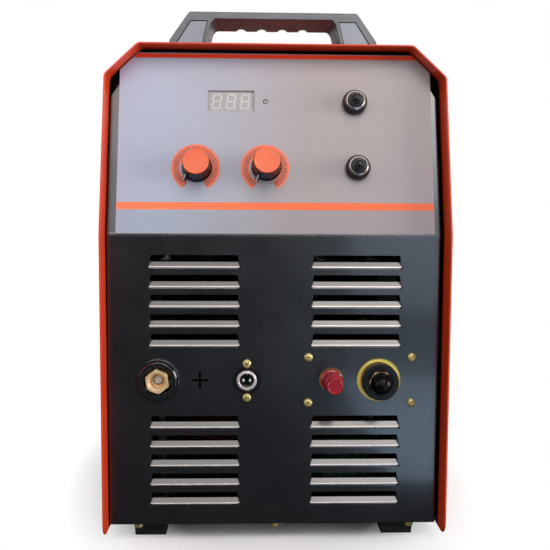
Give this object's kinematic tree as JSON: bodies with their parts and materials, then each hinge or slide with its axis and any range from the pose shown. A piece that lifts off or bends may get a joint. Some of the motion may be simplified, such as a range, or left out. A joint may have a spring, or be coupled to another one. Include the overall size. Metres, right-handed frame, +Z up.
{
  "type": "plasma cutting power unit",
  "caption": "Free-standing plasma cutting power unit: louvred front with knobs, toggles and cable sockets, sheet cover, carrying handles, rear fans and breaker.",
  "frame": {"origin": "floor level, centre of the footprint", "axes": "+X to the right seen from the front, +Y from the front to the rear, +Z up"},
  "size_m": [0.326, 0.589, 0.5285],
  "materials": {
    "cover_paint": "satin orange powder coat",
    "panel_paint": "satin black powder coat",
    "zinc": "bright zinc",
    "yellow_zinc": "yellow zinc",
    "nickel": "nickel plate",
    "brass": "machined brass",
    "rubber": "black rubber",
    "handle_plastic": "grained dark grey",
    "black_plastic": "glossy black",
    "knob_plastic": "black",
    "cap_plastic": "orange",
    "white_plastic": "white",
    "red_plastic": "red",
    "plate_film": "grey printed film",
    "window": "smoked display face",
    "segments": "unlit segments",
    "lens": "clear lamp lens",
    "board_green": "green board",
    "board_yellow": "yellow laminate",
    "aluminium": "extruded",
    "steel_sheet": "galvanised",
    "breaker_grey": "light grey",
    "capacitor_film": "shrink film",
    "ferrite": "sintered ferrite",
    "copper": "enamelled copper",
    "valve_black": "moulded"
  },
  "bodies": {
    "case": {"base_tray": "panel_paint", "feet": "rubber", "case_screws": "zinc", "front_panel": "panel_paint", "rear_panel": "panel_paint", "cover": "cover_paint", "panel_screws": "yellow_zinc", "handles": "handle_plastic", "face_plate": "plate_film", "display_bezel": "window", "display_segments": "segments", "display_board": "board_green", "pilot_lamp": "lens", "potentiometers": "nickel", "toggle_bodies": "black_plastic", "toggle_nuts": "black_plastic", "toggle_rings": "nickel", "work_flange": "black_plastic", "work_socket": "brass", "work_contact": "nickel", "stud_nuts": "brass", "control_shell": "nickel", "control_insert": "black_plastic", "control_pins": "nickel", "front_screws": "yellow_zinc", "terminal_board": "board_yellow", "pilot_collar": "red_plastic", "pilot_stud": "brass", "torch_insulator": "black_plastic", "torch_stud": "brass", "fan_frames": "black_plastic", "fan_guards": "zinc", "breaker": "breaker_grey", "cable_gland": "black_plastic", "rear_fittings": "brass", "module_shelf": "steel_sheet", "heatsinks": "aluminium", "power_boards": "board_green", "capacitors": "capacitor_film", "transformer_cores": "ferrite", "transformer_coils": "copper", "output_chokes": "copper", "control_boards": "board_green", "gas_valve": "valve_black"},
    "current_knob": {"current_knob": "knob_plastic", "current_cap": "cap_plastic", "current_pointer": "white_plastic", "current_shaft": "nickel"},
    "delay_knob": {"delay_knob": "knob_plastic", "delay_cap": "cap_plastic", "delay_pointer": "white_plastic", "delay_shaft": "nickel"},
    "gas_lever": {"gas_lever": "rubber"},
    "mode_lever": {"mode_lever": "rubber"},
    "pilot_washer": {"pilot_washer": "brass"},
    "pilot_nut": {"pilot_nut": "red_plastic"},
    "torch_cap": {"torch_cap": "black_plastic"},
    "left_rotor": {"left_rotor": "knob_plastic"},
    "right_rotor": {"right_rotor": "knob_plastic"},
    "breaker_lever": {"breaker_lever": "knob_plastic"}
  },
  "joints": [
    {"name": "current_turn", "type": "hinge", "parent": "case", "child": "current_knob", "pos_m": [-0.074, -0.26007, 0.35813], "axis": [0, 0.9744, -0.225], "range_deg": [0, 270]},
    {"name": "delay_turn", "type": "hinge", "parent": "case", "child": "delay_knob", "pos_m": [-0.009, -0.26007, 0.35813], "axis": [0, 0.9744, -0.225], "range_deg": [-11, 259]},
    {"name": "gas_toggle", "type": "hinge", "parent": "case", "child": "gas_lever", "pos_m": [0.075, -0.2441, 0.42064], "axis": [-1, 0, 0], "range_deg": [0, 14]},
    {"name": "mode_toggle", "type": "hinge", "parent": "case", "child": "mode_lever", "pos_m": [0.077, -0.2585, 0.35828], "axis": [-1, 0, 0], "range_deg": [0, 14]},
    {"name": "pilot_travel", "type": "slide", "parent": "case", "child": "pilot_washer", "axis": [0, -1, 0], "range_m": [0, 0.004]},
    {"name": "pilot_turn", "type": "hinge", "parent": "pilot_washer", "child": "pilot_nut", "pos_m": [0.0532, -0.2745, 0.157], "axis": [0, -1, 0], "range_deg": [0, 1440]},
    {"name": "torch_cap_pull", "type": "slide", "parent": "case", "child": "torch_cap", "axis": [0, -1, 0], "range_m": [0, 0.04]},
    {"name": "left_fan_spin", "type": "hinge", "parent": "case", "child": "left_rotor", "pos_m": [-0.074, 0.2405, 0.245], "axis": [0, 1, 0], "continuous": true},
    {"name": "right_fan_spin", "type": "hinge", "parent": "case", "child": "right_rotor", "pos_m": [0.074, 0.2405, 0.245], "axis": [0, 1, 0], "continuous": true},
    {"name": "breaker_throw", "type": "hinge", "parent": "case", "child": "breaker_lever", "pos_m": [-0.092, 0.2615, 0.385], "axis": [1, 0, 0], "range_deg": [0, 56]}
  ],
  "couplings": [
    {"joint": "pilot_travel", "follows": "pilot_turn", "m_per_rad": 0.00015915}
  ]
}
